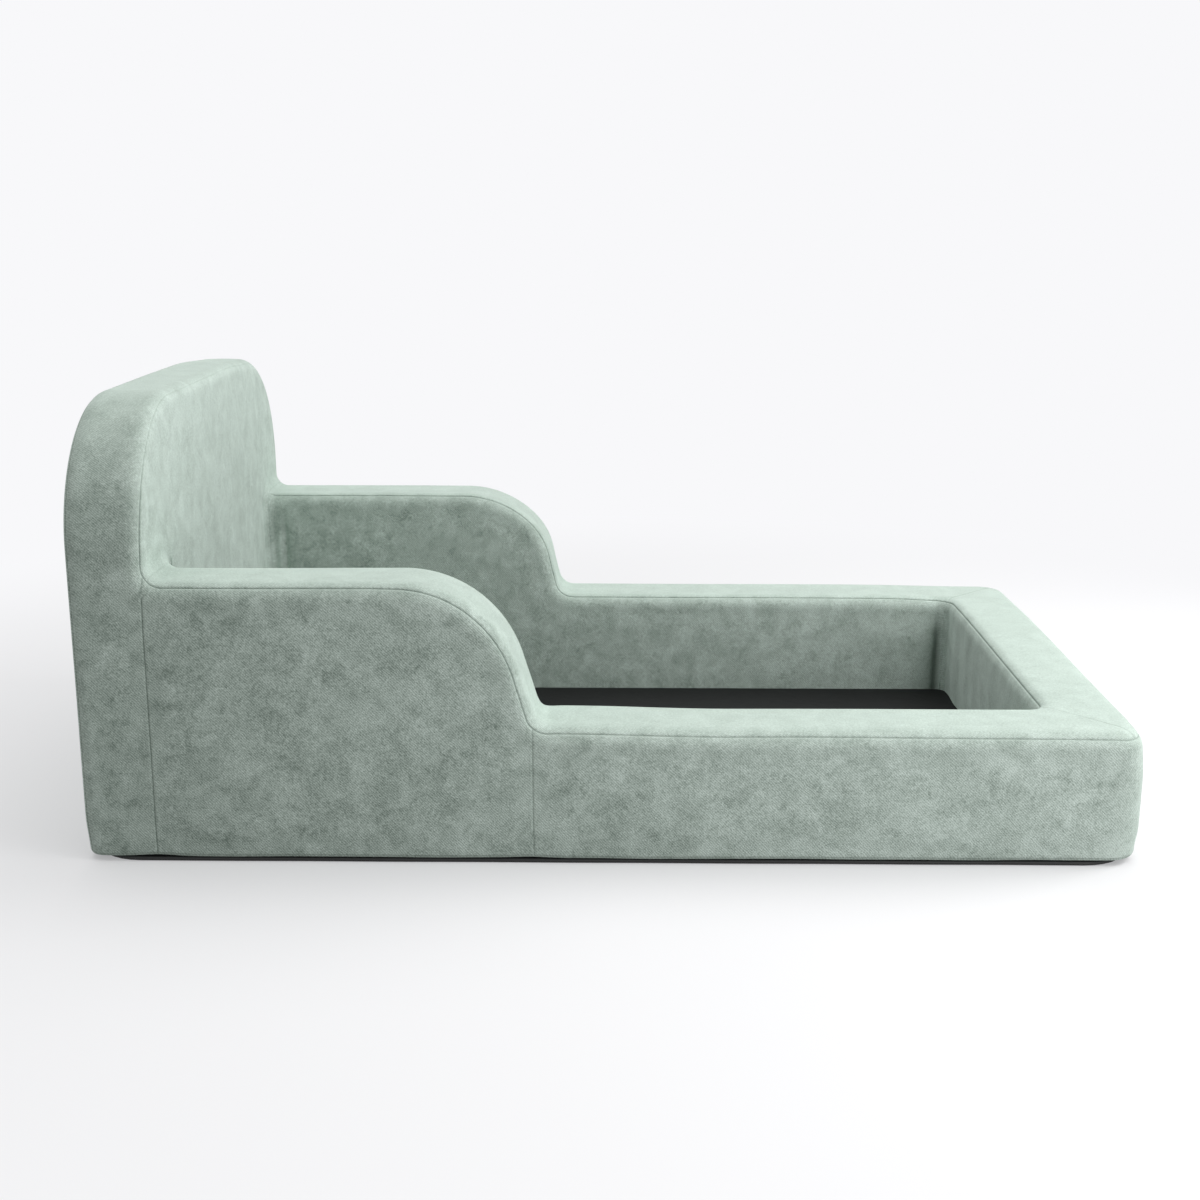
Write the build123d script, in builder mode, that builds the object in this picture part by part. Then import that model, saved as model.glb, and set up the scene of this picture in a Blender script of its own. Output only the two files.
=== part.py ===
from build123d import *
import math
import os

os.makedirs("parts", exist_ok=True)

# All sizes are in mm. +X runs from the headboard to the foot, +Y from the left rail to the right rail, +Z up.
# The origin is on the floor, under the middle of the whole bed.

# The well takes a crib mattress of 1320 by 705.
well_length = 1330.0
well_width = 714.0
headboard_thick = 110.0
rail_thick = 138.0
foot_thick = 130.0
headboard_height = 681.0
high_height = 420.0
low_height = 206.0
# The headboard's top corners take up this share of its height over the rails.
corner_share = 0.8

# The rail's top eases out of the headboard, runs level, then drops on an arc and a slope to the low part.
high_run = 366.0
drop_radius = 184.0
drop_angle = 73.0
toe_radius = 31.0
nook_radius = 24.0
foam_corner = 4.0

# Soft edges: the roll along the top seams, the foot's upright corners and the roll under the outside walls.
edge_roll = 24.0
foot_corner = 42.0
hem_roll = 14.0
hem_width = 30.0
cloth = 2.0
ease = 0.3

# The black bottom cloth and the thin pad that fills the floor of the well.
base_thick = 7.0
base_inset = 3.0
base_corner = 40.0
pad_thick = 11.0
pad_play = 1.5
pad_edge = 4.0
pad_cloth = 1.2

# Hook and loop patches between the foam blocks.
patch_thick = 1.6
patch_width = 80.0
head_patch_height = 280.0
foot_patch_height = 120.0

# The zip along the lower back, in a folded slot that keeps it below the cover's face.
zip_height = 46.0
zip_end = 65.0
slot_spare = 26.0
slot_height = 18.0
fold_depth = 5.0
tape_thick = 0.8
tape_height = 19.0
coil_thick = 2.2
coil_height = 2.4
coil_gap = 2.0
slider_length = 11.0
slider_play = 0.3
plate_thick = 1.1
guide_thick = 1.8
post_length = 4.5
pull_length = 22.0
pull_width = 6.0
pull_thick = 1.2
pin_radius = 0.75
pin_play = 0.05
lug_radius = 1.5
lug_width = 2.6
stop_length = 3.0
groove_depth = 2.2

length = headboard_thick + well_length + foot_thick
width = well_width + 2 * rail_thick
rear = -length / 2
front = rear + headboard_thick
foot_end = length / 2
foot_inner = foot_end - foot_thick
side = width / 2
well_side = well_width / 2
headboard_corner = corner_share * (headboard_height - high_height)
zip_half = side - zip_end
core_inset = cloth + ease
pad_corner = nook_radius + 4
turn = math.radians(drop_angle)
drop_start = front + high_run
drop_end_x = drop_start + drop_radius * math.sin(turn)
drop_end_z = high_height - drop_radius * (1 - math.cos(turn))
toe_start_z = low_height + toe_radius * (1 - math.cos(turn))
toe_start_x = drop_end_x + (drop_end_z - toe_start_z) / math.tan(turn)
toe_end_x = toe_start_x + toe_radius * math.sin(turn)
# The seams sit halfway round each rolled edge.
seam_in = edge_roll * (1 - math.sqrt(0.5))
band = low_height / 2


def block(x_low, x_high, y_low, y_high, z_low, z_high):
    with BuildPart() as solid:
        with BuildSketch(Plane.XY.offset(z_low)):
            with Locations(((x_low + x_high) / 2, (y_low + y_high) / 2)):
                Rectangle(x_high - x_low, y_high - y_low)
        extrude(amount=z_high - z_low)
    return solid.part


def plan_prism(inset, radius, z_low, z_high):
    # The bed's plan drawn in from every side, with round corners.
    with BuildPart() as solid:
        with BuildSketch(Plane.XY.offset(z_low)):
            RectangleRounded(length - 2 * inset, width - 2 * inset, radius)
        extrude(amount=z_high - z_low)
    return solid.part


def headboard_body(inset):
    # The slab with round top corners and a rolled back edge.
    with BuildPart() as slab:
        with BuildSketch(Plane.YZ.offset(rear + inset)) as outline:
            with Locations((0, (base_thick + headboard_height) / 2)):
                Rectangle(width - 2 * inset, headboard_height - base_thick - 2 * inset)
            fillet(outline.vertices().sort_by(Axis.Y)[-2:], headboard_corner - inset)
        extrude(amount=headboard_thick - 2 * inset)
        back = slab.faces().sort_by(Axis.X)[0].edges()
        fillet([e for e in back if e.center().Z > base_thick + inset + 1], edge_roll - inset)
    return slab.part


def rail_frame_body(inset):
    # Both rails and the foot rail in one, run on into the headboard, with the well's top edges rolled.
    lead = front - 2 * edge_roll
    with BuildPart() as frame:
        with BuildSketch(Plane.XZ.offset(side - inset)):
            with BuildLine():
                Line((lead, base_thick), (lead, high_height))
                Line((lead, high_height), (drop_start, high_height))
                JernArc((drop_start, high_height), (1, 0), drop_radius, -drop_angle)
                Line((drop_end_x, drop_end_z), (toe_start_x, toe_start_z))
                JernArc((toe_start_x, toe_start_z), (math.cos(turn), -math.sin(turn)), toe_radius, drop_angle)
                Line((toe_end_x, low_height), (foot_end, low_height))
                Line((foot_end, low_height), (foot_end, base_thick))
                Line((foot_end, base_thick), (lead, base_thick))
            make_face()
            if inset > 0:
                offset(amount=-inset, mode=Mode.REPLACE)
        extrude(amount=-(rail_thick - 2 * inset))
        mirror(about=Plane.XZ)
        with BuildSketch(Plane.XY.offset(base_thick + inset)):
            with Locations(((foot_inner + foot_end) / 2, 0)):
                Rectangle(foot_thick - 2 * inset, width - 2 * inset)
        extrude(amount=low_height - base_thick - 2 * inset)
        high = [e for e in frame.edges() if e.center().Z > low_height - inset - 0.5]
        along = [e for e in high if abs(abs(e.center().Y) - well_side - inset) < 0.01]
        across = [e for e in high if abs(e.center().X - foot_inner - inset) < 0.01]
        fillet([e for e in along if abs((e @ 0).X - (e @ 1).X) > 0.5] + across, edge_roll - inset)
    return frame.part


def soft_body(inset, corner_curve):
    # The whole upholstered form, drawn in from every face.
    with BuildPart() as whole:
        add(headboard_body(inset))
        add(rail_frame_body(inset))
        # The inside corners between the rails and the headboard.
        nook = [e for e in whole.edges().filter_by(Axis.Y) if abs(e.center().Z - high_height + inset) < 0.01]
        fillet([e for e in nook if abs(e.center().X - front + inset) < 0.01], corner_curve)
        # Upright foot corners, then the roll along the outside top seam, then the roll under the bottom edge.
        uprights = whole.edges().filter_by(Axis.Z)
        outer_x = foot_end - inset
        fillet(uprights.filter_by_position(Axis.X, outer_x - 0.01, outer_x + 0.01), foot_corner - inset)
        level = low_height - inset - 0.5
        high = [e for e in whole.edges() if e.center().Z > level and e.center().X > front - inset - 0.01]
        flank = [e for e in high if abs(abs(e.center().Y) - side + inset) < 0.01]
        crest = [e for e in high if abs(e.center().X - front + inset) < 0.01]
        crest = [e for e in crest if e.center().Z > headboard_height - headboard_corner]
        end = [e for e in high if e.center().X > foot_end - foot_corner and e.center().Z < level + 1]
        fillet(flank + crest + end, edge_roll - inset)
        low = [e for e in whole.edges() if abs(e.center().Z - base_thick - inset) < 0.01]
        reach = foot_corner + 1
        rim = [e for e in low if abs(e.center().Y) > side - reach or abs(e.center().X) > foot_end - reach]
        fillet(rim, hem_roll - inset)
    return whole.part


def underside(gap, z_low, z_high):
    # The part of the underside inside the hem and outside the well's walls.
    with BuildPart() as solid:
        add(plan_prism(hem_width + gap, 1, z_low, z_high))
        reach = cloth + gap
        add(block(front - reach, foot_inner + reach, -well_side - reach, well_side + reach, z_low, z_high),
            mode=Mode.SUBTRACT)
    return solid.part


def rail_outline(grow):
    # The left rail's end seen along the bed, grown outward as it leaves the headboard.
    with BuildSketch(Plane.YZ.offset(front + grow)) as outline:
        with BuildLine():
            Line((-side - length, -length), (-side - length, high_height + grow))
            Line((-side - length, high_height + grow), (-well_side - edge_roll, high_height + grow))
            JernArc((-well_side - edge_roll, high_height + grow), (1, 0), edge_roll + grow, -90)
            Line((-well_side + grow, high_height - edge_roll), (-well_side + grow, -length))
            Line((-well_side + grow, -length), (-side - length, -length))
        make_face()
    return outline.sketch


# The sewn cover as one skin, before it is cut into panels. It bridges the inside corners at the headboard.
with BuildPart() as cover:
    add(soft_body(0, nook_radius))
    add(soft_body(cloth, nook_radius + cloth), mode=Mode.SUBTRACT)
    add(underside(0, 0, base_thick + cloth + 0.1), mode=Mode.SUBTRACT)

# The foam inside the cover as one body, before it is cut into blocks. It stands on the bottom cloth.
with BuildPart() as foam:
    add(soft_body(core_inset, foam_corner))
    add(underside(ease, base_thick, base_thick + core_inset + 5))

head_joint = front - core_inset
foot_joint = well_side + core_inset
patch_y = (side + well_side) / 2
patch_x = (foot_inner + foot_end) / 2
head_patch_z = base_thick + 30 + head_patch_height / 2
foot_patch_z = base_thick + 30 + foot_patch_height / 2
high_above = headboard_height + 50
far = length

# Where the zip's layers lie, from the cover's back face inward.
tape_out = rear + cloth + fold_depth
tape_in = tape_out + tape_thick
coil_out = tape_out - coil_thick
plate_out = coil_out - slider_play - plate_thick
inner_plate = tape_in + slider_play
pin_x = plate_out - lug_radius
slot_half = zip_half + slot_spare
slot_low = zip_height - slot_height / 2
slot_top = zip_height + slot_height / 2
tape_reach = coil_gap / 2 + tape_height
home = zip_half - slider_length / 2 - 0.5

# Headboard foam block, with pockets for the loop patches and a groove for the zip.
with BuildPart() as headboard_foam:
    add(foam.part)
    add(block(-far, head_joint, -far, far, 0, high_above), mode=Mode.INTERSECT)
    groove_in = inner_plate + plate_thick + groove_depth / 2
    add(block(rear, groove_in, -slot_half - 4, slot_half + 4, zip_height - tape_reach - 1.5,
              zip_height + tape_reach + 1.5), mode=Mode.SUBTRACT)
    with BuildSketch(Plane.YZ.offset(head_joint)):
        with Locations((patch_y, head_patch_z), (-patch_y, head_patch_z)):
            Rectangle(patch_width, head_patch_height)
    extrude(amount=-patch_thick, mode=Mode.SUBTRACT)
headboard_foam.part.label = "headboard_foam"
export_step(headboard_foam.part, "parts/headboard_foam.step")

# Left rail foam block, cut to the drop profile, with a hook pocket at the head and one at the foot joint.
with BuildPart() as left_rail_foam:
    add(foam.part)
    add(block(head_joint, far, -far, -foot_joint, 0, high_above), mode=Mode.INTERSECT)
    with BuildSketch(Plane.YZ.offset(head_joint)):
        with Locations((-patch_y, head_patch_z)):
            Rectangle(patch_width, head_patch_height)
    extrude(amount=patch_thick, mode=Mode.SUBTRACT)
    with BuildSketch(Plane.XZ.offset(foot_joint)):
        with Locations((patch_x, foot_patch_z)):
            Rectangle(patch_width, foot_patch_height)
    extrude(amount=patch_thick, mode=Mode.SUBTRACT)
left_rail_foam.part.label = "left_rail_foam"
export_step(left_rail_foam.part, "parts/left_rail_foam.step")

# Right rail foam block, the left one's mirror image.
with BuildPart() as right_rail_foam:
    mirror(left_rail_foam.part, about=Plane.XZ)
right_rail_foam.part.label = "right_rail_foam"
export_step(right_rail_foam.part, "parts/right_rail_foam.step")

# Foot rail foam block, set between the side rails, with a loop pocket in each end.
with BuildPart() as foot_rail_foam:
    add(foam.part)
    add(block(foot_inner - 10, far, -foot_joint, foot_joint, 0, high_above), mode=Mode.INTERSECT)
    with BuildSketch(Plane.XZ.offset(foot_joint)):
        with Locations((patch_x, foot_patch_z)):
            Rectangle(patch_width, foot_patch_height)
    extrude(amount=-patch_thick, mode=Mode.SUBTRACT)
    with BuildSketch(Plane.XZ.offset(-foot_joint)):
        with Locations((patch_x, foot_patch_z)):
            Rectangle(patch_width, foot_patch_height)
    extrude(amount=patch_thick, mode=Mode.SUBTRACT)
foot_rail_foam.part.label = "foot_rail_foam"
export_step(foot_rail_foam.part, "parts/foot_rail_foam.step")

# Hook patches, glued in the side rails' pockets.
with BuildPart() as hook_patches:
    with BuildSketch(Plane.YZ.offset(head_joint)):
        with Locations((patch_y, head_patch_z), (-patch_y, head_patch_z)):
            Rectangle(patch_width, head_patch_height)
    extrude(amount=patch_thick)
    with BuildSketch(Plane.XZ.offset(foot_joint)):
        with Locations((patch_x, foot_patch_z)):
            Rectangle(patch_width, foot_patch_height)
    extrude(amount=patch_thick)
    with BuildSketch(Plane.XZ.offset(-foot_joint)):
        with Locations((patch_x, foot_patch_z)):
            Rectangle(patch_width, foot_patch_height)
    extrude(amount=-patch_thick)
hook_patches.part.label = "hook_patches"
export_step(hook_patches.part, "parts/hook_patches.step")

# Loop patches, glued in the headboard's and the foot rail's pockets.
with BuildPart() as loop_patches:
    with BuildSketch(Plane.YZ.offset(head_joint)):
        with Locations((patch_y, head_patch_z), (-patch_y, head_patch_z)):
            Rectangle(patch_width, head_patch_height)
    extrude(amount=-patch_thick)
    with BuildSketch(Plane.XZ.offset(foot_joint)):
        with Locations((patch_x, foot_patch_z)):
            Rectangle(patch_width, foot_patch_height)
    extrude(amount=-patch_thick)
    with BuildSketch(Plane.XZ.offset(-foot_joint)):
        with Locations((patch_x, foot_patch_z)):
            Rectangle(patch_width, foot_patch_height)
    extrude(amount=patch_thick)
loop_patches.part.label = "loop_patches"
export_step(loop_patches.part, "parts/loop_patches.step")

# Black bottom cloth under the whole bed, sewn to the cover's hem.
with BuildPart() as base_cloth:
    with BuildSketch():
        RectangleRounded(length - 2 * base_inset, width - 2 * base_inset, base_corner)
    extrude(amount=base_thick)
base_cloth.part.label = "base_cloth"
export_step(base_cloth.part, "parts/base_cloth.step")

# Thin foam pad that lies on the bottom cloth between the rails, and its black sleeve.
well_middle = (front + foot_inner) / 2
with BuildPart() as pad_outside:
    with BuildSketch(Plane.XY.offset(base_thick)):
        with Locations((well_middle, 0)):
            RectangleRounded(well_length - 2 * pad_play, well_width - 2 * pad_play, pad_corner)
    extrude(amount=pad_thick)
    fillet(pad_outside.faces().sort_by(Axis.Z)[-1].edges(), pad_edge)

with BuildPart() as pad_inside:
    with BuildSketch(Plane.XY.offset(base_thick + pad_cloth)):
        with Locations((well_middle, 0)):
            pad_in = 2 * (pad_play + pad_cloth)
            RectangleRounded(well_length - pad_in, well_width - pad_in, pad_corner - pad_cloth)
    extrude(amount=pad_thick - 2 * pad_cloth)
    fillet(pad_inside.faces().sort_by(Axis.Z)[-1].edges(), pad_edge - pad_cloth)

with BuildPart() as base_pad_foam:
    add(pad_inside.part)
base_pad_foam.part.label = "base_pad_foam"
export_step(base_pad_foam.part, "parts/base_pad_foam.step")

with BuildPart() as base_pad_sleeve:
    add(pad_outside.part)
    add(pad_inside.part, mode=Mode.SUBTRACT)
base_pad_sleeve.part.label = "base_pad_sleeve"
export_step(base_pad_sleeve.part, "parts/base_pad_sleeve.step")

# Back panel of the headboard's cover, as far as the rear seam, with a folded slot for the zip.
with BuildPart() as headboard_back_panel:
    add(cover.part)
    add(block(-far, rear + seam_in, -far, far, 0, high_above), mode=Mode.INTERSECT)
    with BuildSketch(Plane.YZ.offset(rear)):
        with Locations((0, zip_height)):
            Rectangle(2 * slot_half + 2 * cloth, slot_height + 2 * cloth)
    extrude(amount=cloth + fold_depth)
    with BuildSketch(Plane.YZ.offset(rear)):
        with Locations((0, zip_height)):
            Rectangle(2 * slot_half, slot_height)
    extrude(amount=cloth + fold_depth, mode=Mode.SUBTRACT)
headboard_back_panel.part.label = "headboard_back_panel"
export_step(headboard_back_panel.part, "parts/headboard_back_panel.step")

# The rails' side of the inside corners. The seam with the headboard runs along the middle of the curve.
nook_reach = nook_radius + 10
with BuildPart() as rail_side:
    loft([rail_outline(0), rail_outline(nook_reach)], ruled=True)
    mirror(about=Plane.XZ)
    add(block(front + nook_reach, far, -far, far, 0, high_above))

# Front panel of the headboard's cover: full width over the rails, and between them down to the base.
with BuildPart() as headboard_front_panel:
    add(cover.part)
    add(block(front - seam_in, front + nook_reach, seam_in - side, side - seam_in, 0, high_above),
        mode=Mode.INTERSECT)
    add(rail_side.part, mode=Mode.SUBTRACT)
    add(block(-far, far, well_side + cloth, far, 0, band), mode=Mode.SUBTRACT)
    add(block(-far, far, -far, -well_side - cloth, 0, band), mode=Mode.SUBTRACT)
headboard_front_panel.part.label = "headboard_front_panel"
export_step(headboard_front_panel.part, "parts/headboard_front_panel.step")

# Boxing strip round the headboard's sides and top, between the front and rear seams.
with BuildPart() as headboard_boxing:
    add(cover.part)
    add(block(rear + seam_in, front, -far, far, 0, high_above), mode=Mode.INTERSECT)
    add(headboard_front_panel.part, mode=Mode.SUBTRACT)
headboard_boxing.part.label = "headboard_boxing"
export_step(headboard_boxing.part, "parts/headboard_boxing.step")

# The outside walls' skin below the top seam, and the inside walls' skin down to the base.
with BuildPart() as outside_skin:
    add(cover.part)
    add(block(front, far, -far, far, 0, high_above), mode=Mode.INTERSECT)
    add(plan_prism(seam_in, foot_corner - seam_in, band, high_above), mode=Mode.SUBTRACT)
    inner_wall = well_side + cloth
    add(block(front, foot_inner + cloth, -inner_wall, inner_wall, 0, high_above), mode=Mode.SUBTRACT)

with BuildPart() as inside_skin:
    add(cover.part)
    add(block(front, foot_inner + seam_in, -well_side - seam_in, well_side + seam_in, 0, high_above),
        mode=Mode.INTERSECT)
    add(rail_side.part, mode=Mode.INTERSECT)

with BuildPart() as top_skin:
    add(cover.part)
    add(block(front, far, -far, far, band, high_above), mode=Mode.INTERSECT)
    add(rail_side.part, mode=Mode.INTERSECT)
    add(plan_prism(seam_in, foot_corner - seam_in, band, high_above), mode=Mode.INTERSECT)
    add(inside_skin.part, mode=Mode.SUBTRACT)

# The foot corner's mitre runs out at 45 degrees from the well's corner. This is the foot's side of it.
with BuildPart() as foot_side:
    with BuildSketch():
        with BuildLine():
            Polyline((foot_inner - well_side, 0), (foot_inner + far, -well_side - far),
                     (foot_inner + far, well_side + far), close=True)
        make_face()
    extrude(amount=high_above)

left_half = block(-far, far, -far, 0, 0, high_above)
wrap = side - foot_corner - 6

# Left outer panels: the high one by the headboard, and the low one that goes round the foot corner.
with BuildPart() as left_outer_high_panel:
    add(outside_skin.part)
    add(block(-far, toe_start_x, -far, 0, 0, high_above), mode=Mode.INTERSECT)
left_outer_high_panel.part.label = "left_outer_high_panel"
export_step(left_outer_high_panel.part, "parts/left_outer_high_panel.step")

with BuildPart() as left_outer_low_panel:
    add(outside_skin.part)
    add(block(toe_start_x, far, -far, -wrap, 0, high_above), mode=Mode.INTERSECT)
left_outer_low_panel.part.label = "left_outer_low_panel"
export_step(left_outer_low_panel.part, "parts/left_outer_low_panel.step")

# Left top strip, over the high part, the drop and the low part to the mitre.
with BuildPart() as left_top_strip:
    add(top_skin.part)
    add(left_half, mode=Mode.INTERSECT)
    add(foot_side.part, mode=Mode.SUBTRACT)
left_top_strip.part.label = "left_top_strip"
export_step(left_top_strip.part, "parts/left_top_strip.step")

# Left inner panel, facing the mattress.
with BuildPart() as left_inner_panel:
    add(inside_skin.part)
    add(left_half, mode=Mode.INTERSECT)
    add(foot_side.part, mode=Mode.SUBTRACT)
left_inner_panel.part.label = "left_inner_panel"
export_step(left_inner_panel.part, "parts/left_inner_panel.step")

# The right side's panels are the left ones' mirror images.
with BuildPart() as right_outer_high_panel:
    mirror(left_outer_high_panel.part, about=Plane.XZ)
right_outer_high_panel.part.label = "right_outer_high_panel"
export_step(right_outer_high_panel.part, "parts/right_outer_high_panel.step")

with BuildPart() as right_outer_low_panel:
    mirror(left_outer_low_panel.part, about=Plane.XZ)
right_outer_low_panel.part.label = "right_outer_low_panel"
export_step(right_outer_low_panel.part, "parts/right_outer_low_panel.step")

with BuildPart() as right_top_strip:
    mirror(left_top_strip.part, about=Plane.XZ)
right_top_strip.part.label = "right_top_strip"
export_step(right_top_strip.part, "parts/right_top_strip.step")

with BuildPart() as right_inner_panel:
    mirror(left_inner_panel.part, about=Plane.XZ)
right_inner_panel.part.label = "right_inner_panel"
export_step(right_inner_panel.part, "parts/right_inner_panel.step")

# Foot rail's outer panel, top strip and inner panel.
with BuildPart() as foot_outer_panel:
    add(outside_skin.part)
    add(block(foot_inner, far, -wrap, wrap, 0, high_above), mode=Mode.INTERSECT)
foot_outer_panel.part.label = "foot_outer_panel"
export_step(foot_outer_panel.part, "parts/foot_outer_panel.step")

with BuildPart() as foot_top_strip:
    add(top_skin.part)
    add(foot_side.part, mode=Mode.INTERSECT)
foot_top_strip.part.label = "foot_top_strip"
export_step(foot_top_strip.part, "parts/foot_top_strip.step")

with BuildPart() as foot_inner_panel:
    add(inside_skin.part)
    add(foot_side.part, mode=Mode.INTERSECT)
foot_inner_panel.part.label = "foot_inner_panel"
export_step(foot_inner_panel.part, "parts/foot_inner_panel.step")

# Zip tapes, sewn to the slot's folds, above and below the chain.
with BuildPart() as zip_upper_tape:
    with BuildSketch(Plane.YZ.offset(tape_out)):
        with Locations((0, zip_height + coil_gap / 2 + tape_height / 2)):
            Rectangle(2 * slot_half + 2 * cloth, tape_height)
    extrude(amount=tape_thick)
zip_upper_tape.part.label = "zip_upper_tape"
export_step(zip_upper_tape.part, "parts/zip_upper_tape.step")

with BuildPart() as zip_lower_tape:
    with BuildSketch(Plane.YZ.offset(tape_out)):
        with Locations((0, zip_height - coil_gap / 2 - tape_height / 2)):
            Rectangle(2 * slot_half + 2 * cloth, tape_height)
    extrude(amount=tape_thick)
zip_lower_tape.part.label = "zip_lower_tape"
export_step(zip_lower_tape.part, "parts/zip_lower_tape.step")

# The chain's two coils, one sewn to each tape's edge.
with BuildPart() as zip_coils:
    coil_z = (coil_gap + coil_height) / 2
    with BuildSketch(Plane.YZ.offset(coil_out)):
        with Locations((0, zip_height + coil_z), (0, zip_height - coil_z)):
            Rectangle(2 * zip_half, coil_height)
    extrude(amount=coil_thick)
zip_coils.part.label = "zip_coils"
export_step(zip_coils.part, "parts/zip_coils.step")

# A stop crimped over both coils' ends at each end of the chain.
with BuildPart() as zip_stops:
    stop_y = zip_half + stop_length / 2
    with BuildSketch(Plane.YZ.offset(coil_out)):
        with Locations((stop_y, zip_height), (-stop_y, zip_height)):
            Rectangle(stop_length, coil_gap + 2 * coil_height)
    extrude(amount=coil_thick)
zip_stops.part.label = "zip_stops"
export_step(zip_stops.part, "parts/zip_stops.step")

# Slider: an outer plate with guides and a lug, and an inner plate, joined by the post between the coils.
guide_z = coil_gap / 2 + coil_height + slider_play
plate_height = 2 * (guide_z + guide_thick)
with BuildPart() as zip_slider:
    with BuildSketch(Plane.YZ.offset(plate_out)):
        with Locations((home, zip_height)):
            RectangleRounded(slider_length, plate_height, 2.4)
    extrude(amount=plate_thick)
    with BuildSketch(Plane.YZ.offset(plate_out + plate_thick)):
        guide_middle = guide_z + guide_thick / 2
        with Locations((home, zip_height + guide_middle), (home, zip_height - guide_middle)):
            Rectangle(slider_length - 5, guide_thick)
    extrude(amount=coil_thick)
    with BuildSketch(Plane.YZ.offset(inner_plate)):
        with Locations((home, zip_height)):
            RectangleRounded(slider_length, plate_height - 1, 2.4)
    extrude(amount=plate_thick)
    with BuildSketch(Plane.YZ.offset(plate_out + plate_thick)):
        with Locations((home - slider_length / 2 + 1 + post_length / 2, zip_height)):
            RectangleRounded(post_length, coil_gap - 2 * slider_play, 0.5)
    extrude(until=Until.NEXT)
    with BuildSketch(Plane.XY.offset(zip_height - lug_width / 2)):
        with Locations((pin_x, home)):
            Circle(lug_radius)
        with Locations((pin_x + lug_radius / 2, home)):
            Rectangle(lug_radius, 2 * lug_radius)
        with Locations((pin_x, home)):
            Circle(pin_radius + pin_play, mode=Mode.SUBTRACT)
    extrude(amount=lug_width)
zip_slider.part.label = "zip_slider"
export_step(zip_slider.part, "parts/zip_slider.step")

# Pull tab, forked round the slider's lug and turning on its own pin.
arm_in = lug_width / 2 + slider_play
with BuildPart() as zip_pull:
    with BuildSketch(Plane.XY.offset(zip_height - pull_width / 2)):
        with Locations((pin_x, home)):
            Circle(pin_radius)
    extrude(amount=pull_width)
    with BuildSketch(Plane.XY.offset(zip_height + arm_in), Plane.XY.offset(zip_height - pull_width / 2)):
        with Locations((pin_x, home)):
            Circle(lug_radius - slider_play)
        with Locations((pin_x, home - lug_radius)):
            Rectangle(pull_thick, 2 * lug_radius)
    extrude(amount=pull_width / 2 - arm_in)
    with BuildSketch(Plane.YZ.offset(pin_x - pull_thick / 2)):
        tab_start = lug_radius + 0.9
        with Locations((home - (tab_start + pull_length) / 2, zip_height)):
            Rectangle(pull_length - tab_start, pull_width)
        with Locations((home - pull_length + pull_width / 2, zip_height)):
            Circle(pull_width / 5, mode=Mode.SUBTRACT)
    extrude(amount=pull_thick)
    tip = zip_pull.edges().filter_by(Axis.X).sort_by(Axis.Y)[:2]
    fillet(tip, pull_width / 2 - 0.2)
zip_pull.part.label = "zip_pull"
export_step(zip_pull.part, "parts/zip_pull.step")
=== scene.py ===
import math
import bmesh
import bpy
import numpy as np
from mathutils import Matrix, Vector, kdtree, noise


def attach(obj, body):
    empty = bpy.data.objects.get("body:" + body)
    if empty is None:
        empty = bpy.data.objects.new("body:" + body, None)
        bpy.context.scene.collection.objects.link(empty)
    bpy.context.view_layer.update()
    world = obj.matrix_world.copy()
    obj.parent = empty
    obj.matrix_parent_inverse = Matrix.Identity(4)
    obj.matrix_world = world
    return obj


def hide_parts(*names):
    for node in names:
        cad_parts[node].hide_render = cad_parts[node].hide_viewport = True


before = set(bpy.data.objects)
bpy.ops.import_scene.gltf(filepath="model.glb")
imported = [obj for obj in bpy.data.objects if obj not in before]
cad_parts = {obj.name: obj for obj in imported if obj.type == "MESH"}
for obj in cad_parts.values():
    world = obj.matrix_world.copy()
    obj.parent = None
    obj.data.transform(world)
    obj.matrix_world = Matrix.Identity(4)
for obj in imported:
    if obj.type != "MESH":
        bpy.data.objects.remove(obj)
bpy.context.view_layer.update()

# ---------------------------------------------------------------------------------------------------------------
# Bottom cloth. A 7 mm sheet of felt in coated black cloth under the whole bed, laid on the floor. The cover's hem lies
# on its edge, so that a dark line of it shows all round. It keeps the bed from sliding.
# ---------------------------------------------------------------------------------------------------------------
MM = 0.001
bottom_long, bottom_wide, bottom_corner = 1564.0, 984.0, 80.0


def linear(code):
    """An sRGB hex colour as linear RGBA."""
    parts = [int(code[i:i + 2], 16) / 255 for i in (1, 3, 5)]
    return [p / 12.92 if p <= 0.04045 else ((p + 0.055) / 1.055) ** 2.4 for p in parts] + [1.0]


def add(tree, kind, inputs=None, **settings):
    """Adds one node. An input is given a value, or a socket to link from."""
    made = tree.nodes.new(kind)
    for name, value in settings.items():
        setattr(made, name, value)
    for name, value in (inputs or {}).items():
        if isinstance(value, bpy.types.NodeSocket):
            tree.links.new(value, made.inputs[name])
        else:
            made.inputs[name].default_value = value
    return made


def new_material(name):
    """A material with no nodes yet, and its node tree."""
    material = bpy.data.materials.new(name)
    material.use_nodes = True
    material.node_tree.nodes.clear()
    return material, material.node_tree


def piece(name, points, faces, material, smooth=True):
    """A mesh object from points in millimetres."""
    mesh = bpy.data.meshes.new(name)
    mesh.from_pydata([tuple(p) for p in np.asarray(points) * MM], [], faces)
    mesh.validate()
    made = bpy.data.objects.new(name, mesh)
    bpy.context.collection.objects.link(made)
    mesh.polygons.foreach_set("use_smooth", [smooth] * len(mesh.polygons))
    made.data.materials.append(material)
    return made


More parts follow.
